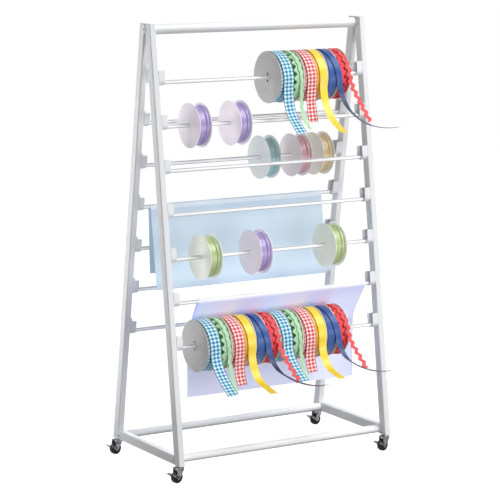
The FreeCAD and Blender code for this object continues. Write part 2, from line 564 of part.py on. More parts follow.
def main():
    os.makedirs("parts", exist_ok=True)
    sides = ((FRONT, "front"), (REAR, "rear"))
    hands = ((LEFT, "left"), (RIGHT, "right"))
    for side, side_name in sides:
        for hand, hand_name in hands:
            save("leg_%s_%s" % (side_name, hand_name), leg(side, hand))
    save("base_rails", Part.makeCompound([base_rail(hand) for hand, _ in hands]))
    save("leg_caps", Part.makeCompound([leg_cap(side, hand) for side, _ in sides for hand, _ in hands]))
    save("top_bar", cross_bar(TOP_BAR_D, 0, TOP_BAR_Z))
    save("bottom_bars", Part.makeCompound([cross_bar(LOW_BAR_D, side * LOW_BAR_Y, RAIL_Z) for side, _ in sides]))
    bolts = [bolt(hand, 0, TOP_BAR_Z, True) for hand, _ in hands]
    bolts += [bolt(hand, side * LOW_BAR_Y, RAIL_Z, False) for hand, _ in hands for side, _ in sides]
    save("frame_bolts", Part.makeCompound(bolts))
    cup = hook()
    save("hooks", Part.makeCompound([place_hook(cup, side, hand, row)
                                     for side, _ in sides for hand, _ in hands for row in range(1, ROWS + 1)]))

    stem, fork, wheel, pedal = caster_stem(), caster_fork(), caster_wheel(), caster_pedal()
    save("caster_stems", Part.makeCompound([place_caster(stem, side, hand) for side, _ in sides for hand, _ in hands]))
    for side, side_name in sides:
        for hand, hand_name in hands:
            end = "%s_%s" % (side_name, hand_name)
            save("caster_fork_" + end, place_caster(fork, side, hand))
            save("caster_wheel_" + end, place_caster(wheel, side, hand))
            save("caster_pedal_" + end, place_caster(pedal, side, hand))

    for side, side_name in sides:
        for row in range(1, ROWS + 1):
            if (side, row) not in MISSING_RODS:
                save("rod_%s_%d" % (side_name, row), rod(side, row))

    for k, kind in enumerate(KINDS):
        save("spool_r1_" + kind, spool(FRONT, 1, TOP_SET_X + SPOOL_PITCH * k, BIG_FLANGE_R, BIG_WOUND_R))
    for name, side, row, end, inset in SMALL_SPOOLS:
        x = inset - ROD_HALF if end == LEFT else ROD_HALF - inset - SPOOL_WIDTH
        save("spool_" + name, spool(side, row, x, SMALL_FLANGE_R, SMALL_WOUND_R))
    for pair in range(len(KINDS)):
        both = [spool(FRONT, 7, LOW_SET_X + SPOOL_PITCH * k, BIG_FLANGE_R, BIG_WOUND_R)
                for k in (2 * pair, 2 * pair + 1)]
        save("spool_pair_r7_%d" % (pair + 1), Part.makeCompound(both))

    save("ribbon_tails_r1", tails(1, TOP_SET_HANG, [(TOP_SET_X, TOP_STRETCH)]))
    save("ribbon_tails_r7", tails(7, LOW_SET_HANG, [(LOW_SET_X, LOW_STRETCH_A),
                                                    (LOW_SET_X + SPOOL_PITCH * len(KINDS), LOW_STRETCH_B)]))
    save("sheet_blue", blue_sheet())
    save("sheet_lavender", lavender_sheet())


main()
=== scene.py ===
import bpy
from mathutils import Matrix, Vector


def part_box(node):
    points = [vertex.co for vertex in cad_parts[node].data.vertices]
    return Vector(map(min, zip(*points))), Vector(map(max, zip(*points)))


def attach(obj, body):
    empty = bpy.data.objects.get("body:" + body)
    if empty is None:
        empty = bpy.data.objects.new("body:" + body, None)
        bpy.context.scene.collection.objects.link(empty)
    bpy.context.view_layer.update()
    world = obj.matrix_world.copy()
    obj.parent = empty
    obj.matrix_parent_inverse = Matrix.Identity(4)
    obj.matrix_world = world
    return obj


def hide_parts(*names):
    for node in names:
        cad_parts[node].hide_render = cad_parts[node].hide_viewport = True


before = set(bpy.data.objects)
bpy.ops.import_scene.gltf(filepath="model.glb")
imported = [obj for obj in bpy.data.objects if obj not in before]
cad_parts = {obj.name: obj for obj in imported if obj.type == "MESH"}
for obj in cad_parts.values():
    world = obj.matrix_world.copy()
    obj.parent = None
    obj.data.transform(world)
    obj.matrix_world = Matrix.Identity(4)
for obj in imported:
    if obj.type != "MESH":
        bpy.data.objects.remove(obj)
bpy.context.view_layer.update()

# A white A-frame ribbon rack on casters: powder-coated tube, white rods in
# open hooks, reels of satin, gingham and ric-rac with loose ends, and two
# sheets folded over rods. Lengths are millimetres until a mesh is made, and
# X runs along the rods, Y from front to rear.
import math

import bpy
import numpy as np
from mathutils import Matrix

MM = 0.001
KINDS = ["gingham_blue", "ricrac_green", "gingham_red", "satin_yellow", "satin_navy", "ricrac_red"]
REEL_WIDTH, FLANGE, PITCH = 43.6, 2.0, 44.0    # over both flanges, one flange, reel to reel
BORE_R, HUB_R = 7.0, 12.0
BIG_R, BIG_WOUND = 83.0, 80.6                  # flange and winding of a wide reel
SMALL_R, SMALL_WOUND = 71.0, 62.0              # and of a narrow one
ROD_R, ROD_BORE = 6.35, 5.15
TOP_BAR_R, CROSS_BAR_R, BOLT_BORE = 16.0, 12.7, 2.6
SOFT_EDGE = 0.5                                # rounding of a tube's ends
WHEEL_HEIGHT = 19.0                            # axle of a caster wheel over the floor
CASTER_TURN = math.radians(190)                # how a caster's fork points at rest


# ---- meshes --------------------------------------------------------------
def skin(points, across, along, loop=False):
    """A closed skin from an (n, m, 3) array of sections of m points each.

    Point j of section i joins point j + 1 round the section and the same
    point of section i + 1. With loop the last section joins the first, else
    both ends are closed by strips laid across the section. across (m) and
    along (n, or n + 1 with loop) are the UV, in millimetres. The faces are
    turned over if the skin's signed volume comes out negative."""
    n, m = points.shape[:2]
    i, j = np.meshgrid(np.arange(n if loop else n - 1), np.arange(m), indexing="ij")
    k = (j + 1) % m
    nxt = (i + 1) % n
    faces = np.stack([i * m + j, i * m + k, nxt * m + k, nxt * m + j], -1).reshape(-1, 4)
    corners = ((j, i), (k, i), (k, i + 1), (j, i + 1))
    uv = np.stack([np.stack([across[a], along[b]], -1) for a, b in corners], 2).reshape(-1, 4, 2)
    if not loop:
        q = np.arange(m // 2 - 1)
        start = np.stack([q + 1, q, m - 1 - q, m - 2 - q], -1)
        end = start[:, [1, 0, 3, 2]] + (n - 1) * m
        faces = np.concatenate([faces, start, end])
        caps = [np.stack([across[c % m], along[c // m]], -1) for c in (start, end)]
        uv = np.concatenate([uv] + caps)
    co = points.reshape(-1, 3)
    a, b, c, d = (co[faces[:, x]] for x in range(4))
    volume = np.einsum("ij,ij", a, np.cross(b, c)) + np.einsum("ij,ij", a, np.cross(c, d))
    if volume < 0:
        faces, uv = faces[:, ::-1], uv[:, ::-1]
    return co, faces, uv


def piece(name, skins, material, body, replaces=(), values=None, sharp=40):
    """One mesh from one or more skins, riding on a body. values is a number
    per point, kept as the attribute "relief"; edges over sharp degrees stay
    sharp."""
    counts = np.cumsum([0] + [len(s[0]) for s in skins])
    co = np.concatenate([s[0] for s in skins]) * MM
    faces = np.concatenate([s[1] + base for s, base in zip(skins, counts)])
    uv = np.concatenate([s[2] for s in skins])
    mesh = bpy.data.meshes.new(name)
    mesh.vertices.add(len(co))
    mesh.vertices.foreach_set("co", co.astype(np.float32).ravel())
    mesh.loops.add(faces.size)
    mesh.loops.foreach_set("vertex_index", faces.astype(np.int32).ravel())
    mesh.polygons.add(len(faces))
    mesh.polygons.foreach_set("loop_start", np.arange(0, faces.size, 4, dtype=np.int32))
    mesh.update(calc_edges=True)
    mesh.uv_layers.new(name="UVMap").data.foreach_set("uv", uv.astype(np.float32).ravel())
    if values is not None:
        relief = mesh.attributes.new("relief", "FLOAT", "POINT")
        relief.data.foreach_set("value", values.astype(np.float32).ravel())
    mesh.polygons.foreach_set("use_smooth", np.ones(len(faces), bool))
    mesh.set_sharp_from_angle(angle=math.radians(sharp))
    mesh.materials.append(material)
    obj = bpy.data.objects.new(name, mesh)
    bpy.context.scene.collection.objects.link(obj)
    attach(obj, body)
    if replaces:
        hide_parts(*replaces)
    return obj


def turned(x, r, centre, steps, turn=0.0):
    """A closed section (x, r) carried round an axis through centre: each
    point goes to (x, r cos a, r sin a) for steps even angles a, and the whole
    is turned by the angle turn about the upright line through centre."""
    a = np.arange(steps)[:, None] * 2 * np.pi / steps
    r = np.broadcast_to(r, (steps, len(x)))
    p = np.stack([np.broadcast_to(x, r.shape), r * np.cos(a), r * np.sin(a)], -1)
    c, s = math.cos(turn), math.sin(turn)
    p = np.stack([c * p[..., 0] - s * p[..., 1], s * p[..., 0] + c * p[..., 1], p[..., 2]], -1) + centre
    along = np.arange(steps + 1) * 2 * np.pi * np.max(r) / steps
    return skin(p, np.asarray(x, float), along, loop=True)


def smooth(t):
    """0 below 0, 1 above 1 and 3t^2 - 2t^3 between."""
    t = np.clip(t, 0, 1)
    return t * t * (3 - 2 * t)


def extent(node):
    """The low corner, middle and high corner of a node's box."""
    lo, hi = (np.array(c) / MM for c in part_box(node))
    return lo, (lo + hi) / 2, hi


# ---- materials -----------------------------------------------------------
MAIN_SETTING = {"Math": "operation", "Mix": "data_type", "MapRange": "interpolation_type",
                "TexNoise": "noise_dimensions", "UVMap": "uv_map", "Attribute": "attribute_name"}


def colour(hex_code):
    """An sRGB hex colour as linear RGBA."""
    s = np.array([int(hex_code[k:k + 2], 16) / 255 for k in (1, 3, 5)])
    return (*np.where(s <= 0.04045, s / 12.92, ((s + 0.055) / 1.055) ** 2.4), 1.0)


def add(tree, kind, *values, out=0, **named):
    """Adds one node and returns its output out, by place or name, or the node
    itself if out is None. kind is the node's type and, after a point, its
    main setting. values go to the inputs in order and named ones to those of
    that name, with _ for a space. Each is a number, a colour, an sRGB hex
    code or the socket that it comes from."""
    kind, _, setting = kind.partition(".")
    node = tree.nodes.new("ShaderNode" + kind)
    if setting:
        setattr(node, MAIN_SETTING[kind], setting)
    inputs = list(zip([s for s in node.inputs if s.enabled], values))
    inputs += [(node.inputs[name.replace("_", " ")], value) for name, value in named.items()]
    for socket, value in inputs:
        if isinstance(value, bpy.types.NodeSocket):
            tree.links.new(value, socket)
        else:
            socket.default_value = colour(value) if isinstance(value, str) else value
    if out is None:
        return node
    return [s for s in node.outputs if s.enabled][out] if isinstance(out, int) else node.outputs[out]


def finish(name, base, rough, bump=None, **principled):
    """A material with a Principled shader. base is a function of the tree
    that gives a colour socket; bump one that gives a height socket and a
    distance in metres."""
    m = bpy.data.materials.new(name)
    m.use_nodes = True
    t = m.node_tree
    t.nodes.clear()
    if bump:
        height, distance = bump(t)
        principled["Normal"] = add(t, "Bump", Height=height, Distance=distance, Strength=0.6)
    surface = add(t, "BsdfPrincipled", Base_Color=base(t), Roughness=rough, **principled)
    add(t, "OutputMaterial", surface, out=None)
    return m


def uv_mm(t):
    """u across the ribbon and v along it, in millimetres."""
    split = add(t, "SeparateXYZ", add(t, "UVMap.UVMap"), out=None)
    return split.outputs[0], split.outputs[1]


def grain(t, per_metre, detail=3.0):
    """Cloudy noise through the piece, about per_metre clouds to the metre."""
    place = add(t, "TexCoord", out="Object")
    return add(t, "TexNoise", out="Fac", Vector=place, Scale=per_metre, Detail=detail)


def powder_coat(name, hex_code):
    """Polyester powder, baked: satin white, with the orange-peel of the melt
    about 2 mm across and a slightly greyer cast here and there."""
    def base(t):
        return add(t, "Mix.RGBA", add(t, "Math.MULTIPLY", grain(t, 9), 0.35), hex_code, "#dfe1e5")
    return finish(name, base, 0.42, lambda t: (grain(t, 500), 0.00012), IOR=1.5)


def tube_coat_with_painted_shade(name, hex_code, painted_shade_code, radius, shade_from, shade_at, both_sides, glow=0.0):
    """Powder coat on a round tube: full white along the sides and greyer along
    the underside, and along the top too with both_sides, a painted shade for
    the shade of a lit tube. With a the angle round the tube from level, the
    painted shade grows as -sin a, or |sin a|, goes from shade_from to shade_at.
    With glow the coat emits light of its own colour: a painted glow."""
    def base(t):
        up = add(t, "Math.SINE", add(t, "Math.DIVIDE", uv_mm(t)[1], radius))
        steep = add(t, "Math.ABSOLUTE", up) if both_sides else add(t, "Math.MULTIPLY", up, -1.0)
        # painted shade: how far the grey goes in at this angle round the tube
        shade_amount = add(t, "MapRange.SMOOTHSTEP", steep, shade_from, shade_at)
        return add(t, "Mix.RGBA", shade_amount, hex_code, painted_shade_code)
    return finish(name, base, 0.42, lambda t: (grain(t, 500), 0.00012), IOR=1.5,
                  Emission_Color=hex_code, Emission_Strength=glow)


def plated(name, hex_code, shade_code, rough):
    """Nickel or zinc on pressed steel, with faint drawing marks, and clouded
    in soft patches of about 11 mm from hex_code to the darker shade_code:
    painted reflections of dark surroundings."""
    def base(t):
        # painted reflection: soft dark patches for reflected dark surroundings
        painted_reflection = add(t, "Math.MULTIPLY_ADD", grain(t, 90, 1.0), 2.6, -0.85)
        return add(t, "Mix.RGBA", add(t, "Math.SMOOTH_MIN", painted_reflection, 1.0, 0.1), hex_code, shade_code)
    return finish(name, base, rough, lambda t: (grain(t, 900), 0.00008), Metallic=1.0)


def satin(name, hex_code, shade_code, shaded_end_code=None, ior=1.8):
    """Polyester satin ribbon. Long floats of bright yarn give a broad soft
    highlight, the turns leave faint lines along the ribbon, and a narrow
    ribbon lies in columns about 6.5 mm wide, with painted shade darkening the
    grooves at the edges of each column. With shaded_end_code the tone changes to
    shaded_end_code from 130 to 220 mm along the ribbon: painted shade on the loose end."""
    def streaks(t, across, along, detail):
        u, v = uv_mm(t)
        at = add(t, "CombineXYZ", add(t, "Math.MULTIPLY", u, across), add(t, "Math.MULTIPLY", v, along))
        return add(t, "TexNoise.2D", out="Fac", Vector=at, Scale=1.0, Detail=detail)

    def base(t):
        u, v = uv_mm(t)
        ridge = add(t, "Math.SMOOTH_MIN", add(t, "Math.PINGPONG", u, 3.25), 0.5, 0.3)
        # painted shade: darker at the edges of each 6.5 mm column, in the grooves
        groove_shade = add(t, "Math.MULTIPLY", add(t, "Math.SUBTRACT", 0.5, ridge), 0.6)
        dark = add(t, "Math.MULTIPLY_ADD", streaks(t, 0.9, 0.012, 3.0), 0.9, groove_shade)
        tone = add(t, "Mix.RGBA", dark, hex_code, shade_code)
        if shaded_end_code is None:
            return tone
        # painted shade: the loose end darkens along the ribbon
        return add(t, "Mix.RGBA", add(t, "MapRange.SMOOTHSTEP", v, 130.0, 220.0), tone, shaded_end_code)
    return finish(name, base, 0.3, lambda t: (streaks(t, 1.6, 0.02, 2.0), 0.0006), IOR=ior)


def gingham(name, dark, mid, light, edge, half_width):
    """Woven check, 13.4 mm across and 12.2 along: dyed yarn crosses white
    yarn, so squares are full, half and no colour. Two dyed stripes run along
    the middle, then a pale margin and a dark selvedge of 2 mm. The threads
    are drawn 1.1 mm apart, coarser than real ones, so that they show."""
    def stripes(t, x, repeat, phase):
        wave = add(t, "Math.SINE", add(t, "Math.MULTIPLY_ADD", x, 2 * math.pi / repeat, phase))
        return add(t, "Clamp", add(t, "Math.MULTIPLY_ADD", wave, 4.0, 0.9))

    def base(t):
        u, v = uv_mm(t)
        off = add(t, "Math.ABSOLUTE", u)
        checked = add(t, "Math.LESS_THAN", off, 12.6)
        warp = add(t, "Math.MULTIPLY", stripes(t, u, 13.4, -math.pi / 2), checked)
        dyed = add(t, "Math.ADD", warp, stripes(t, v, 12.2, 0.0))
        check = add(t, "Mix.RGBA", dyed, light, mid)
        check = add(t, "Mix.RGBA", add(t, "Math.SUBTRACT", dyed, 1.0), check, dark)
        return add(t, "Mix.RGBA", add(t, "Math.GREATER_THAN", off, half_width - 2.0), check, edge)

    def weave(t):
        threads = [add(t, "Math.SINE", add(t, "Math.MULTIPLY", x, 2 * math.pi / 1.1)) for x in uv_mm(t)]
        return add(t, "Math.MULTIPLY", *threads), 0.0002
    return finish(name, base, 0.7, weave, IOR=1.45)


def ricrac(name, light, shade):
    """Flat braid bent to and fro: matt cotton with ribs across it every
    1.6 mm, darker where an upper braid keeps the light off a lower one."""
    def base(t):
        depth = add(t, "Math.MULTIPLY_ADD", grain(t, 700), 0.2, add(t, "Attribute.relief", out="Fac"))
        return add(t, "Mix.RGBA", depth, light, shade)

    def ribs(t):
        return add(t, "Math.SINE", add(t, "Math.MULTIPLY", uv_mm(t)[1], 2 * math.pi / 1.6)), 0.0002
    return finish(name, base, 0.78, ribs, IOR=1.45)


def sheeting(name, hex_code, shade_code, highlight_code, glow, fold):
    """Smooth sheet, 0.7 mm thick, springy enough to stand off plumb. A painted
    highlight, a pale band, runs 5 to 14 mm below the fold, then a painted
    shade, a darker band that fades by 70 mm; the top of the fold and the whole
    rear flap are painted in the shade colour. It emits light of its own colour
    at strength glow, a painted glow, so its shaded side stays light. fold is
    the length in millimetres from the front edge to the top of the fold."""
    # painted highlight, then painted shade, below the fold
    painted_fold_bands = ((0.05, highlight_code), (0.14, highlight_code), (0.22, shade_code), (0.34, shade_code))

    def base(t):
        below = add(t, "Math.SUBTRACT", fold, uv_mm(t)[0])
        ramp = add(t, "ValToRGB", add(t, "Math.DIVIDE", below, 100.0), out=None)
        stops = ramp.color_ramp.elements
        # painted shade along the top of the fold and over the whole rear flap
        stops[0].position, stops[0].color = 0.02, colour(shade_code)
        stops[1].position, stops[1].color = 0.7, colour(hex_code)
        for at, code in painted_fold_bands:
            stops.new(at).color = colour(code)
        cast = add(t, "Math.MULTIPLY", grain(t, 5.0, 2.0), 0.3)
        return add(t, "Mix.RGBA", cast, ramp.outputs["Color"], shade_code)
    # painted glow: the sheet emits light of its own colour at strength glow
    return finish(name, base, 0.85, IOR=1.3, Emission_Color=hex_code, Emission_Strength=glow)


def moulded(name, hex_code, shade_code, rough, **more):
    """Injection-moulded plastic or rubber with a fine spark-eroded grain."""
    return finish(name, lambda t: add(t, "Mix.RGBA", grain(t, 60), hex_code, shade_code), rough,
                  lambda t: (grain(t, 1500), 0.00006), **more)


def frost(name, hex_code, shade_code):
    """Frosted polystyrene, 2 mm thick, with a painted glow: it emits light of
    its own colour at strength 0.3, so its shaded side stays light."""
    return moulded(name, hex_code, shade_code, 0.35, IOR=1.55,
                   Emission_Color=hex_code, Emission_Strength=0.3)


def board_with_painted_holes(name, hex_code, shade_code, centre):
    """Grey board flange with two oval drive holes over and under the bore,
    9.5 by 6.8 mm and 11.5 mm from the axis, not cut but painted near-black
    as the shade inside them: dark where (y / 1.4)^2 + (|z| - 11.5)^2 is
    under 3.4^2."""
    def base(t):
        split = add(t, "SeparateXYZ", add(t, "TexCoord", out="Object"), out=None)
        y = add(t, "Math.DIVIDE", add(t, "Math.SUBTRACT", split.outputs[1], centre[1] * MM), 1.4)
        level = add(t, "Math.ABSOLUTE", add(t, "Math.SUBTRACT", split.outputs[2], centre[2] * MM))
        z = add(t, "Math.SUBTRACT", level, 11.5 * MM)
        squares = add(t, "Math.ADD", add(t, "Math.MULTIPLY", y, y), add(t, "Math.MULTIPLY", z, z))
        # painted shade where the holes are
        hole_shade = add(t, "Math.LESS_THAN", add(t, "Math.SQRT", squares), 3.4 * MM)
        return add(t, "Mix.RGBA", hole_shade, add(t, "Mix.RGBA", grain(t, 40), hex_code, shade_code), "#08080a")
    return finish(name, base, 0.6, lambda t: (grain(t, 800), 0.0001))


white_coat = powder_coat("powder_coat_white", "#e3e5e7")
hook_coat = powder_coat("powder_coat_hook", "#e4e6ea")
# Rods: painted shade along the top and underside, and a painted glow of 0.1. Top bar and cross bars: painted
# shade along the underside.
rod_coat = tube_coat_with_painted_shade("powder_coat_rod", "#fafbfc", "#b4b6b9", ROD_R, 0.25, 0.75, True, 0.1)
top_coat = tube_coat_with_painted_shade("powder_coat_top_bar", "#f9fafb", "#d8d9db", TOP_BAR_R, -0.3, 0.15, False)
bar_coat = tube_coat_with_painted_shade("powder_coat_cross_bar", "#f6f7f8", "#a2a3a5", CROSS_BAR_R, 0.2, 0.8, False)
# Zinc, nickel and the pedal's darker plating: painted reflections in dark patches.
zinc = plated("zinc_plate", "#c9cbce", "#8f9296", 0.28)
nickel = plated("nickel_plate", "#94969a", "#36383c", 0.2)
pedal_steel = plated("nickel_plate_pedal_dark", "#85878c", "#2e3035", 0.3)
cap_plastic = moulded("polythene_white", "#eceded", "#e0e1e2", 0.5)
rubber = moulded("rubber_black", "#0b0b0c", "#141416", 0.5, IOR=1.3)
edge_board = moulded("board_edge", "#efe6da", "#ddd2c4", 0.65)
# The wound yellow satin is darker and more golden than its loose end, the loose navy darker than the wound
# one and the loose red braid paler: lit and shaded copies of one ribbon, painted light and shade.
WOUND = {
    "gingham_blue": gingham("cotton_gingham_blue", "#257ca3", "#8bcbe6", "#f6fdff", "#22486a", 19.0),
    "gingham_red": gingham("cotton_gingham_red", "#d42b38", "#f5a5a6", "#fffaf9", "#b02734", 18.0),
    "ricrac_green": ricrac("cotton_braid_green", "#c4efc4", "#1a6434"),
    "ricrac_red": ricrac("cotton_braid_red", "#fb5056", "#9c0c15"),
    "satin_yellow": satin("satin_yellow", "#f7b524", "#e39c14", ior=1.5),
    "satin_navy": satin("satin_navy", "#3d69b8", "#20427f", ior=1.45)}
LOOSE = {**WOUND,
         "ricrac_red": ricrac("cotton_braid_red_loose_painted_light", "#f26266", "#9c0c15"),
         "satin_yellow": satin("satin_yellow_loose_painted_light", "#ffe240", "#fcd52c", "#fbdb34", 1.6),
         "satin_navy": satin("satin_navy_loose_painted_shade", "#3760ac", "#244486", "#1d2a52", 1.45)}
NARROW = {
    "purple": satin("satin_purple", "#b09dd4", "#8a76b4"),
    "teal": satin("satin_teal", "#a3c9cc", "#7fa8ac"),
    "pink": satin("satin_pink", "#d6a6b2", "#b88593"),
    "beige": satin("satin_beige", "#dac896", "#bba470"),
    "green": satin("satin_green", "#bdcf92", "#94aa68")}
# Reel flanges with a painted glow.
FROSTED = {
    "purple": frost("polystyrene_purple", "#dcd5de", "#d3cbd6"),
    "teal": frost("polystyrene_teal", "#c6cbcd", "#bbc3c5"),
    "pink": frost("polystyrene_pink", "#cbc4c7", "#c3babd"),
    "beige": frost("polystyrene_beige", "#cac7c0", "#c1bdb3"),
    "green": frost("polystyrene_green", "#d9ddd3", "#ced3c5")}


# ---- frame and rods ------------------------------------------------------
def coat(material, *nodes):
    for node in nodes:
        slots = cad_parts[node].data.materials
        slots.clear()
        slots.append(material)


def tube(node, radius, bore):
    """Round tube along X: a section with rounded edges outside and the bore
    inside, carried round the axis of the node."""
    lo, mid, hi = extent(node)
    e, c = SOFT_EDGE, SOFT_EDGE * 0.3
    x = np.array([lo[0], lo[0] + c, lo[0] + e, hi[0] - e, hi[0] - c, hi[0], hi[0], lo[0]])
    r = np.array([radius - e, radius - c, radius, radius, radius - c, radius - e, bore, bore])
    return turned(x, r, np.array([0, mid[1], mid[2]]), 40)


def cross_bar(lo, hi, y, z):
    """Round bar from lo to hi along X at (y, z), its edges bevelled."""
    e = SOFT_EDGE
    x = np.array([lo, lo + e, hi - e, hi, hi, lo])
    r = np.array([CROSS_BAR_R - e, CROSS_BAR_R, CROSS_BAR_R, CROSS_BAR_R - e, BOLT_BORE, BOLT_BORE])
    return turned(x, r, np.array([0, y, z]), 48)


coat(white_coat, "leg_front_left", "leg_front_right", "leg_rear_left", "leg_rear_right",
     "base_rails", "frame_bolts")
coat(hook_coat, "hooks")
coat(cap_plastic, "leg_caps")
for rod in [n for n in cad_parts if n.startswith("rod_")]:
    piece(rod + "_tube", [tube(rod, ROD_R, ROD_BORE)], rod_coat, rod, [rod])
piece("top_bar_tube", [tube("top_bar", TOP_BAR_R, BOLT_BORE)], top_coat, "rack", ["top_bar"])
lo, mid, hi = extent("bottom_bars")
bars = [cross_bar(lo[0], hi[0], y, mid[2]) for y in (lo[1] + CROSS_BAR_R, hi[1] - CROSS_BAR_R)]
piece("bottom_bar_tubes", bars, bar_coat, "rack", ["bottom_bars"])


# ---- casters -------------------------------------------------------------
def tyre(node):
    """A wheel: its half section (distance from the middle, radius) has a
    dished side with a raised hub, a rounded shoulder and a flat tread. It is
    mirrored and carried round the axle."""
    centre = extent(node)[1]
    centre[2] = WHEEL_HEIGHT
    half = np.array([
        (7.2, 2.56), (7.8, 3.0), (7.8, 6.2), (6.8, 7.0), (5.0, 7.6),
        (5.0, 13.2), (6.4, 14.2), (7.6, 14.6), (7.9, 15.4),
        (7.7, 17.2), (6.8, 18.3), (5.2, 18.85), (2.6, 19.0)])
    section = np.concatenate([half, half[::-1] * (-1, 1)])
    return turned(section[:, 0], section[:, 1], centre, 64, CASTER_TURN + math.pi / 2)


coat(zinc, "caster_stems")
for corner in ("front_left", "front_right", "rear_left", "rear_right"):
    coat(nickel, "caster_fork_" + corner)
    coat(pedal_steel, "caster_pedal_" + corner)
    wheel = "caster_wheel_" + corner
    piece("wheel_%s_tyre" % corner, [tyre(wheel)], rubber, "wheel_" + corner, [wheel])


# ---- reels ---------------------------------------------------------------
REEL_STEPS, BRAID_STEPS = 112, 304    # faces round a reel and round a ric-rac winding


def reel(left, centre, radius):
    """Two flanges with rims rounded by 0.45 mm on a hub: one section carried
    round."""
    x0, x1, f, c = left, left + REEL_WIDTH, FLANGE, 0.45
    section = [(x0, BORE_R), (x0, radius - c), (x0 + c * 0.3, radius - c * 0.3), (x0 + c, radius),
               (x0 + f - c, radius), (x0 + f - c * 0.3, radius - c * 0.3), (x0 + f, radius - c),
               (x0 + f, HUB_R)]
    mirror = [(x0 + x1 - x, r) for x, r in reversed(section)]
    s = np.array(section + mirror)
    return turned(s[:, 0], s[:, 1], np.array([0, centre[1], centre[2]]), REEL_STEPS)


# level, middle, half width, swing, phase and stray of each braid on a reel
BRAIDS = {"ricrac_green": ((-0.8, 10.0, 9.5, 5.0, 3.1, 0.0), (0.0, 0.5, 11.0, 5.6, 1.3, 0.0)),
          "ricrac_red": ((-0.7, 9.5, 9.6, 4.0, 3.6, -1.6), (0.0, -8.6, 9.6, 4.0, 1.0, 2.0))}
# the ribbon lies between these distances from the middle of its reel
COVERED = {"satin_yellow": (-30.0, 14.5), "satin_navy": (-14.5, 17.0)}


def wound(left, centre, top, kind):
    """The turns of ribbon between the flanges, and how deep each point lies.

    Plain ribbons: a cylinder whose radius rises and falls a little with x, as
    turns do that aren't laid quite true. Narrow satin: a low crest for each
    6.5 mm column, r = R - 0.6 (2 frac - 1)^4, that wanders with the angle, and
    the last column on top of the others by the right flange. Ric-rac: the
    higher of two broad braids, each a rounded strip whose middle swings to
    and fro, x = c + w sin p, 19 swings a turn, over a lower ground that the
    braid's material paints in its shade colour, and which strays by y sin a.
    Yellow and navy leave an edge of the core bare."""
    braids = BRAIDS.get(kind)
    steps, columns = (BRAID_STEPS, 61) if braids else (REEL_STEPS, 45)
    across = np.linspace(left + FLANGE + 0.05, left + REEL_WIDTH - FLANGE - 0.05, columns)
    a = np.arange(steps)[:, None] * 2 * np.pi / steps
    u = across[None, :] - left - REEL_WIDTH / 2
    if braids:
        # the lower ground: the ric-rac material paints it in its shade colour
        r = np.full((steps, columns), top - 4.5)
        for level, middle_u, half, swing, phase, stray in braids:
            p = 19 * a + phase + 0.5 * np.sin(2 * a + phase)
            d = (u - middle_u - swing * np.sin(p) - stray * np.sin(a)) / half
            r = np.maximum(r, np.where(np.abs(d) < 1, top + level - 0.6 * d ** 4, 0))
    elif kind == "satin":
        frac = ((u + 1.2 * np.sin(a + u / 9)) / 6.5) % 1
        r = top - 1.0 - 0.6 * (2 * frac - 1) ** 4 - 0.2 * np.sin(5 * a + u)
        d = (u - 12.6 - 1.6 * np.sin(a + 0.4)) / 5.0
        r = np.maximum(r, np.where(np.abs(d) < 1, top + 2.4 - 1.4 * d ** 2, 0))
    else:
        first, last = COVERED.get(kind, (-30.0, 30.0))
        r = top - 0.12 - 0.12 * np.sin(3 * a + u / 5) - 9.0 * ((u < first) | (u > last))
    depth = np.clip((top - r) / 3.0, 0, 1)
    full_x = np.concatenate([across, [across[-1], across[0]]])
    inner = np.full((steps, 2), HUB_R)
    axis = np.array([0, centre[1], centre[2]])
    points, faces, uv = turned(full_x, np.concatenate([r, inner], 1), axis, steps)
    uv = uv - (left + REEL_WIDTH / 2, 0)
    return (points, faces, uv), np.concatenate([depth, np.ones_like(inner)], 1)


def wide_reel(name, kind, left, centre, body, replaces, outermost):
    # the outermost reel's flange has its drive holes painted dark as shade
    flange = board_with_painted_holes("board_painted_hole_shade_" + name, "#dadad9", "#cacac9", centre) if outermost else edge_board
    piece(name + "_reel", [reel(left, centre, BIG_R)], flange, body, replaces)
    shape, depth = wound(left, centre, BIG_WOUND, kind)
    piece(name + "_winding", [shape], WOUND[kind], body, values=depth, sharp=60)


def narrow_reel(node, shade):
    lo, mid, _ = extent(node)
    piece(node + "_reel", [reel(lo[0], mid, SMALL_R)], FROSTED[shade], node, [node])
    shape, depth = wound(lo[0], mid, SMALL_WOUND, "satin")
    piece(node + "_winding", [shape], NARROW[shade], node, values=depth, sharp=60)


for k, kind in enumerate(KINDS):
    node = "spool_r1_" + kind
    lo, mid, _ = extent(node)
    wide_reel(node, kind, lo[0], mid, node, [node], k == 0)
for k in range(2 * len(KINDS)):
    node = "spool_pair_r7_%d" % (k // 2 + 1)
    lo, mid, _ = extent(node)
    side = k % 2
    wide_reel("%s_%s" % (node, "ab"[side]), KINDS[k % len(KINDS)], lo[0] + PITCH * side, mid, node,
              [] if side else [node], k == 0)
for node in [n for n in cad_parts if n.startswith("spool_r") and not n.startswith("spool_r1")]:
    narrow_reel(node, node.split("_")[2])


# ---- loose ribbon ends ---------------------------------------------------
START = 85.0       # degrees above level where the loose turn begins
TAIL_R = 83.65     # its middle surface on the winding
TAIL_THICK = 0.45
TUCK = 34.0        # length behind the start that sinks between the flanges
WAVE = 25.0        # one swing of the ric-rac
ARCH = 0.5         # height of a plain ribbon's middle over its edges
ACROSS = 9         # points across a ribbon
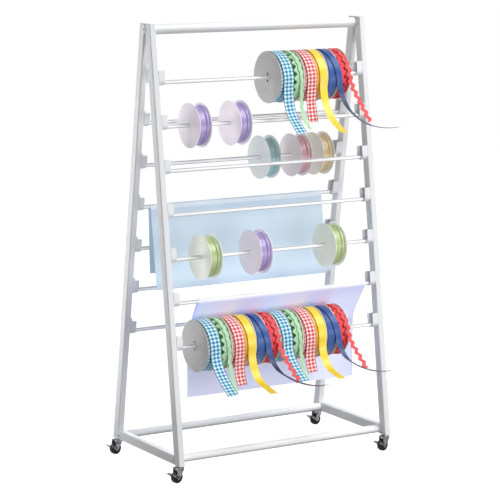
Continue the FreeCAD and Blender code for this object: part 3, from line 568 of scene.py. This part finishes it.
# width, slant, braid swing, twists at 1/3, 2/3 and the end of the free part
STRIPS = {
    "gingham_blue": (38.0, 3, 0, (0, 0, 0)), "ricrac_green": (16.0, 5, 1.5, (0, 0, 0)),
    "gingham_red": (36.0, 3, 0, (0, 0, 0)), "satin_yellow": (28.0, 3, 0, (-1, -2, -3)),
    "satin_navy": (22.0, 10, 0, (-22, -6, 8)), "ricrac_red": (24.0, 8, 4.0, (0, 0, 0))}
# angle where it leaves the winding, leans at 1/3, 2/3 and the end, length
TOP_SET = {
    "gingham_blue": (-10, (6, 46, 48), 180.0), "ricrac_green": (-10, (-8, 22, 70), 163.0),
    "gingham_red": (-10, (-10, 8, 12), 130.0), "satin_yellow": (-10, (22, 54, 73), 208.0),
    "satin_navy": (-10, (55, 86, 103), 333.0), "ricrac_red": (3, (35, 36, 38), 170.0)}
LOW_SET = {
    "gingham_blue": (-6, (36, 52, 54), 160.0), "ricrac_green": (-10, (8, 12, 56), 135.0),
    "gingham_red": (-10, (-10, 10, 28), 112.0), "satin_yellow": (-10, (26, 74, 76), 190.0),
    "satin_navy": (-6, (74, 91, 110), 319.0), "ricrac_red": (4, (42, 43, 44), 153.0)}


def tail_profile(leave, leans, length):
    """The line that a loose end follows in the plane of its turn, every
    0.5 mm: its arc length u, 0 at START, its place (out, up) from the axis
    and its lean in degrees. It lies on the winding down to the angle leave,
    then its lean from plumb changes evenly between the given leans, and its
    place is the running sum of (sin lean, -cos lean). Before START it sinks
    2.2 mm into the winding."""
    arc = TAIL_R * math.radians(START - leave)
    u = np.arange(-TUCK - 12, arc + length + 30, 0.5)
    free = np.interp(u - arc, np.arange(4) * length / 3, [leave, *leans])
    lean = np.where(u < arc, START - np.degrees(u / TAIL_R), free)
    w = np.radians(lean)
    place = np.cumsum(0.5 * np.stack([np.sin(w), -np.cos(w)], -1), 0)
    at = np.argmin(np.abs(u))
    sunk = TAIL_R - 2.2 * smooth(-u / 30)
    on = np.stack([sunk * np.cos(w), sunk * np.sin(w)], -1)
    place += on[at] - place[at]
    return arc, u, np.where((u < 0)[:, None], on, place), lean


def ribbon_end(kind, hang, middle_x, centre, stretch):
    """A strip laid across the surface that its profile makes along X.

    The strip runs over that surface at its slant, and a ric-rac's middle
    swings to and fro on it. A plain ribbon is arched across its width, and a
    point v from its middle is lifted v sin(twist) off the surface."""
    width, slant, swing, twists = STRIPS[kind]
    leave, leans, length = hang[kind]
    length *= stretch
    arc, u, place, lean = tail_profile(leave, leans, length)
    s = np.arange(-TUCK, (arc + length) / math.cos(math.radians(slant)), 1.6 if swing else 2.4)
    tilt = np.radians(slant) * smooth((s + 18) / 24)
    run, drift = (np.cumsum(f(tilt)) * (s[1] - s[0]) for f in (np.cos, np.sin))
    zero = np.argmin(np.abs(s))
    run, drift = run - run[zero], drift - drift[zero]
    half = width / 2 - swing
    t = np.linspace(-half, half, ACROSS)
    across = np.concatenate([t, t[::-1]])
    v = across[None, :] + (swing * np.sin(2 * np.pi * s / WAVE))[:, None]
    where = run[:, None] - v * np.sin(tilt)[:, None]
    roll = np.radians(np.interp(s - arc, np.arange(4) * length / 3, [0, *twists]))[:, None]
    x = middle_x + drift[:, None] + v * np.cos(tilt)[:, None] * np.cos(roll)
    out, up, w = (np.interp(where, u, f) for f in (place[:, 0], place[:, 1], np.radians(lean)))
    lift = np.repeat([TAIL_THICK / 2, -TAIL_THICK / 2], ACROSS)[None, :] + v * np.sin(roll)
    if not swing:
        lift = lift + ARCH * smooth(s / 60)[:, None] * (1 - (across / half) ** 2)[None, :]
    points = np.stack([x, centre[1] - out - lift * np.cos(w), centre[2] + up + lift * np.sin(w)], -1)
    return skin(points, across, s), (2 * half, s[-1] - s[0])


def hang_ends(row, hang, first_x, centre, stretch, tag):
    """The six ends of one set of wide reels. A ric-rac's flat length is its
    area over its width, since its middle swings to and fro."""
    for k, kind in enumerate(KINDS):
        shape, flat = ribbon_end(kind, hang, first_x + PITCH * k + REEL_WIDTH / 2, centre, stretch)
        obj = piece("ribbon_end_r%d%s_%s" % (row, tag, kind), [shape], LOOSE[kind], "rod_front_%d" % row,
                    ["ribbon_tails_r%d" % row], values=np.zeros(len(shape[0])))
        if kind.startswith("ricrac"):
            real = sum(p.area for p in obj.data.polygons) / 2
            flat = (flat[0], real / (flat[0] * MM) / MM)


lo, mid, _ = extent("spool_r1_gingham_blue")
hang_ends(1, TOP_SET, lo[0], mid, 1.0, "")
lo, mid, _ = extent("spool_pair_r7_1")
hang_ends(7, LOW_SET, lo[0], mid, 1.0, "a")
hang_ends(7, LOW_SET, lo[0] + len(KINDS) * PITCH, mid, 0.88, "b")


# ---- sheets --------------------------------------------------------------
SHEET_THICK = 0.7
WRAP_R = 7.15                        # the sheet's middle line round a rod
BLUE_FRONT, BLUE_REAR = 264, 216     # flaps below the middle of the rod
BLUE_FRONT_LEAN, BLUE_REAR_LEAN = 8.7, 2.6
LAVENDER_FRONT, LAVENDER_REAR = 322, 259


def arc(y, z, radius, start, end):
    """Points of an arc in the YZ plane, about every 6 degrees."""
    n = max(3, int(abs(end - start) / 6) + 1)
    a = np.radians(np.linspace(start, end, n))
    return np.stack([y + radius * np.cos(a), z + radius * np.sin(a)], -1)


def even(path, step):
    """Points every step along a path, in straight runs between its corners."""
    at = np.concatenate([[0], np.cumsum(np.hypot(*np.diff(path, axis=0).T))])
    s = np.linspace(0, at[-1], int(at[-1] / step) + 1)
    return np.stack([np.interp(s, at, path[:, k]) for k in (0, 1)], -1), s


def folded_sheet(name, path, codes, glow, body, node, still, ripple):
    """A thin sheet: its middle line in the YZ plane carried along X over the
    width of its node. Below the height still it hangs free, and there it
    ripples in Y by
    ripple (sin(x / 61) + 0.5 sin(x / 27 + 1)) smooth((still - z) / 200)."""
    x0, x1 = (corner[0] for corner in extent(node)[::2])
    line, s = even(np.array(path), 4.0)
    material = sheeting(name, *codes, glow, float(s[np.argmax(line[:, 1])]))
    x = np.linspace(x0, x1, 90)
    d = np.gradient(line, axis=0)
    d /= np.hypot(d[:, 0], d[:, 1])[:, None]
    normal = np.stack([-d[:, 1], d[:, 0]], -1)
    aside = normal * SHEET_THICK / 2
    section = np.concatenate([line + aside, (line - aside)[::-1]])
    z = section[None, :, 1]
    free = smooth((still - z) / 200) * ripple
    y = section[None, :, 0] + free * (np.sin(x / 61) + 0.5 * np.sin(x / 27 + 1))[:, None]
    points = np.stack([np.broadcast_to(x[:, None], y.shape), y, np.broadcast_to(z, y.shape)], -1)
    obj = piece(name, [skin(points, np.concatenate([s, s[::-1]]), x)], material, body, [node])


def blue_path():
    """Up the front flap, over the rod and down the rear flap, both flaps
    straight and leaning outwards."""
    y, z = extent("rod_rear_4")[1][1:]
    over = arc(y, z, WRAP_R, 180 - BLUE_FRONT_LEAN, -BLUE_REAR_LEAN)
    splay = math.tan(math.radians(BLUE_FRONT_LEAN)) * (over[0][1] - z + BLUE_FRONT)
    tuck = math.tan(math.radians(BLUE_REAR_LEAN)) * (over[-1][1] - z + BLUE_REAR)
    return [(over[0][0] - splay, z - BLUE_FRONT), *over, (over[-1][0] - tuck, z - BLUE_REAR)]


def lavender_path():
    """Both flaps hang plumb behind the reels of the bottom rod: each is
    tangent to the rod's wrap and to a circle round the reels, the front one
    1.1 mm and the rear one 2.7 mm clear of the flanges."""
    y, z = extent("rod_front_6")[1][1:]
    reel_y, reel_z = extent("spool_pair_r7_1")[1][1:]
    front_r, rear_r = BIG_R + 1.1, BIG_R + 2.7
    apart = math.hypot(y - reel_y, z - reel_z)
    tip = math.degrees(math.atan2(y - reel_y, z - reel_z))
    cross = math.degrees(math.asin((front_r + WRAP_R) / apart)) - tip
    outer = math.degrees(math.asin((rear_r - WRAP_R) / apart)) - tip
    return [(reel_y + front_r, z - LAVENDER_FRONT), *arc(reel_y, reel_z, front_r, 0, cross),
            *arc(y, z, WRAP_R, 180 + cross, outer), *arc(reel_y, reel_z, rear_r, outer, 0),
            (reel_y + rear_r, z - LAVENDER_REAR)]


# The sheet's own colour, its painted shade and its painted highlight, then its painted glow.
folded_sheet("sheet_blue_sheeting", blue_path(), ("#c2d3de", "#b5c5d7", "#e0e8ef"), 0.26,
             "rod_rear_4", "sheet_blue", 760.0, 0.8)
folded_sheet("sheet_lavender_sheeting", lavender_path(), ("#d6daf6", "#c9cdee", "#e6e8fa"), 0.3,
             "rod_front_6", "sheet_lavender",
             extent("spool_pair_r7_1")[1][2] - 20, 1.2)


# ---- floor, light and camera ---------------------------------------------
CAMERA_PLACE = (-3.70006, -5.9865, 1.87889)    # metres
YAW, PITCH_DOWN, ROLL = (math.radians(d) for d in (31.626, 9.743, 0.354))
FOCAL, FIELD, SENSOR = 2210.63, 500, 36.0      # focal length and field in the same unit


def seen(t):
    """1 on what the camera sees, directly, in a mirror or through glass."""
    path = add(t, "LightPath", out=None).outputs
    reflected = add(t, "Math.MAXIMUM", path["Is Glossy Ray"], path["Is Transmission Ray"])
    return add(t, "Math.MAXIMUM", path["Is Camera Ray"], reflected)


def floor():
    """A white floor that shows the rack's soft shadow and renders as white
    where it is not shaded."""
    m = bpy.data.materials.new("floor_white")
    m.use_nodes = True
    t = m.node_tree
    t.nodes.clear()
    glow = add(t, "Emission", "#ffffff", 1.0)
    shade = add(t, "BsdfDiffuse", (0.2, 0.2, 0.2, 1))
    plain = add(t, "BsdfDiffuse", (0.33, 0.33, 0.33, 1))
    add(t, "OutputMaterial", add(t, "MixShader", seen(t), plain, add(t, "AddShader", glow, shade)), out=None)
    mesh = bpy.data.meshes.new("floor")
    mesh.from_pydata([(-30, -30, 0), (30, -30, 0), (30, 30, 0), (-30, 30, 0)], [], [(0, 1, 2, 3)])
    mesh.materials.append(m)
    obj = bpy.data.objects.new("floor", mesh)
    bpy.context.scene.collection.objects.link(obj)


def studio():
    """White all round for the camera, and a faint cool fill on the object."""
    w = bpy.data.worlds.new("studio")
    bpy.context.scene.world = w
    w.use_nodes = True
    t = w.node_tree
    t.nodes.clear()
    back = add(t, "Background", "#ffffff", 1.0)
    fill = add(t, "Background", (0.96, 0.98, 1.0, 1), 0.09)
    add(t, "OutputWorld", add(t, "MixShader", seen(t), fill, back), out=None)


def softbox(name, place, target, size, watts):
    """A rectangular lamp that faces target, its height size[1] upright."""
    lamp = bpy.data.lights.new(name, "AREA")
    lamp.shape, lamp.size, lamp.size_y, lamp.energy = "RECTANGLE", size[0], size[1], watts
    obj = bpy.data.objects.new(name, lamp)
    place, target = np.array(place), np.array(target)
    away = (place - target) / np.linalg.norm(place - target)
    side = np.cross((0, 0, 1), away)
    side /= np.linalg.norm(side)
    axes = Matrix(np.stack([side, np.cross(away, side), away], 1).tolist()).to_4x4()
    obj.matrix_world = Matrix.Translation(place.tolist()) @ axes
    obj.visible_camera = False
    bpy.context.scene.collection.objects.link(obj)


def camera():
    """Looks along YAW from the Y axis and PITCH_DOWN below level, and is
    turned by ROLL about its line of sight."""
    ahead = np.array([math.sin(YAW) * math.cos(PITCH_DOWN), math.cos(YAW) * math.cos(PITCH_DOWN),
                      -math.sin(PITCH_DOWN)])
    level = np.array([math.cos(YAW), -math.sin(YAW), 0])
    upright = np.cross(level, ahead)
    right = level * math.cos(ROLL) + upright * math.sin(ROLL)
    up = upright * math.cos(ROLL) - level * math.sin(ROLL)
    data = bpy.data.cameras.new("camera")
    data.sensor_width, data.sensor_fit = SENSOR, "HORIZONTAL"
    data.lens = SENSOR * FOCAL / FIELD
    data.clip_end = 100
    obj = bpy.data.objects.new("camera", data)
    axes = Matrix(np.stack([right, up, -ahead], 1).tolist()).to_4x4()
    obj.matrix_world = Matrix.Translation(CAMERA_PLACE) @ axes
    bpy.context.scene.collection.objects.link(obj)
    bpy.context.scene.camera = obj


floor()
studio()
softbox("key", (1.8, -2.3, 4.2), (0, 0, 0.7), (2.0, 3.0), 160)
softbox("low", (0.4, -3.0, 0.5), (0, 0, 0.4), (2.6, 0.9), 40)
softbox("left_near", (-1.5, -0.1, 2.4), (-0.4, 0, 1.0), (0.6, 0.6), 4.2)
softbox("left_strip", (-0.7, 0.5, 0.75), (-0.4, 0.12, 0.7), (0.2, 1.4), 4.2)
softbox("right", (4.2, 0.2, 1.8), (0, 0, 0.7), (1.6, 1.6), 36)
softbox("back", (0.6, 3.2, 1.6), (0, 0, 0.6), (2.4, 2.0), 42)
camera()
bpy.context.scene.view_settings.view_transform = "Standard"
